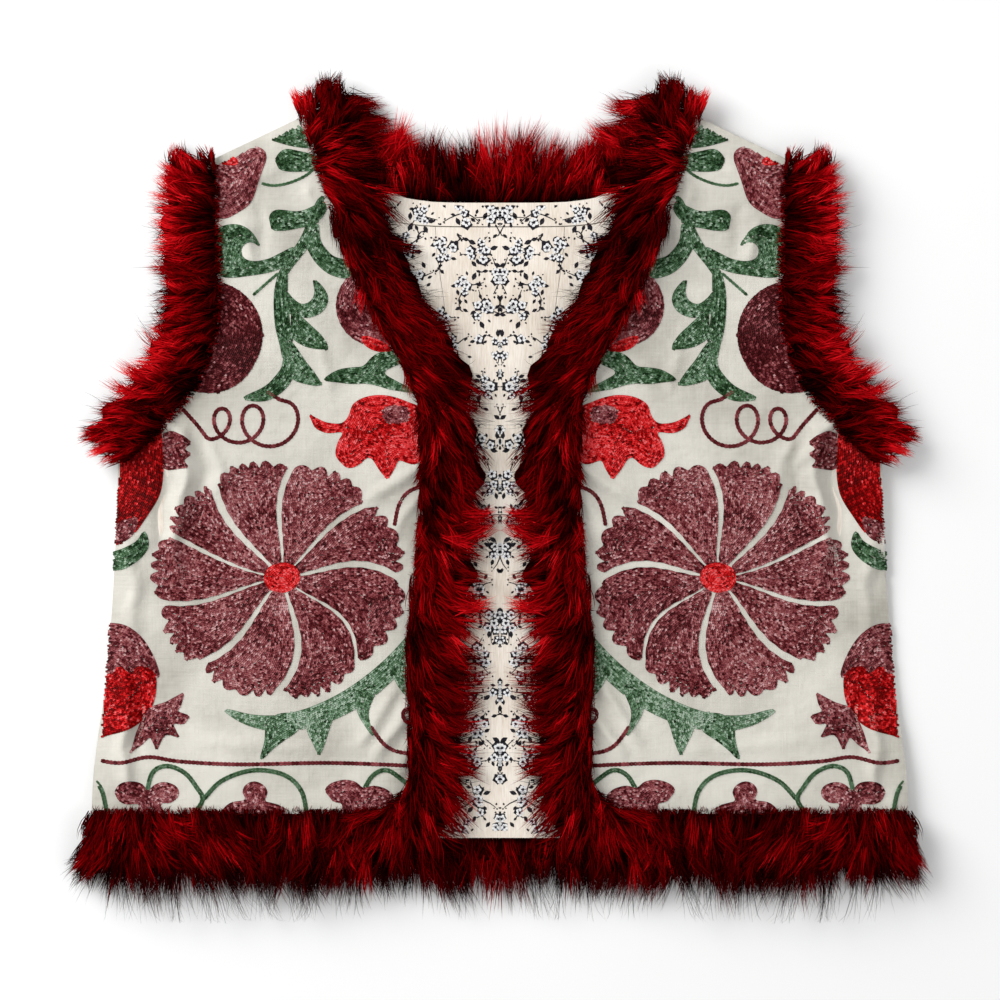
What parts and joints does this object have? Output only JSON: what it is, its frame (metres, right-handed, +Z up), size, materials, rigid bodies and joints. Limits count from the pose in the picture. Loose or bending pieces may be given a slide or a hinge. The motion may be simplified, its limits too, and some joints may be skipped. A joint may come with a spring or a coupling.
{
  "type": "fur-trimmed embroidered vest",
  "caption": "Sleeveless open-fronted folk vest laid flat, with embroidered cotton fronts, printed lining and long-haired fur along the neck, fronts, armholes and hem.",
  "frame": {"origin": "middle of the vest's plan, on the surface it lies on", "axes": "+Z up from the surface through the closed-over fronts, +Y from the hem to the neck, +X across to the side at the right hand of someone looking down with the neck away from them"},
  "size_m": [0.574, 0.5556, 0.0262],
  "materials": {
    "cream_cotton": "matt plain-woven cream cotton, embroidered in maroon, red and green chain stitch on the fronts",
    "printed_lining": "smooth cream lining printed with small dark blossom sprigs",
    "red_fur": "long glossy hair dyed red over black, with black guard hairs"
  },
  "bodies": {
    "root": {"back": "cream_cotton", "front_left": "cream_cotton", "front_right": "cream_cotton", "lining_centre": "printed_lining", "lining_left": "printed_lining", "lining_right": "printed_lining", "lining_facing": "printed_lining", "fur_front_left": "red_fur", "fur_front_right": "red_fur", "fur_hem_front_left": "red_fur", "fur_hem_front_right": "red_fur", "fur_hem_back": "red_fur", "fur_neck_back": "red_fur", "fur_armhole_front_left": "red_fur", "fur_armhole_front_right": "red_fur", "fur_armhole_back_left": "red_fur", "fur_armhole_back_right": "red_fur"}
  },
  "joints": []
}
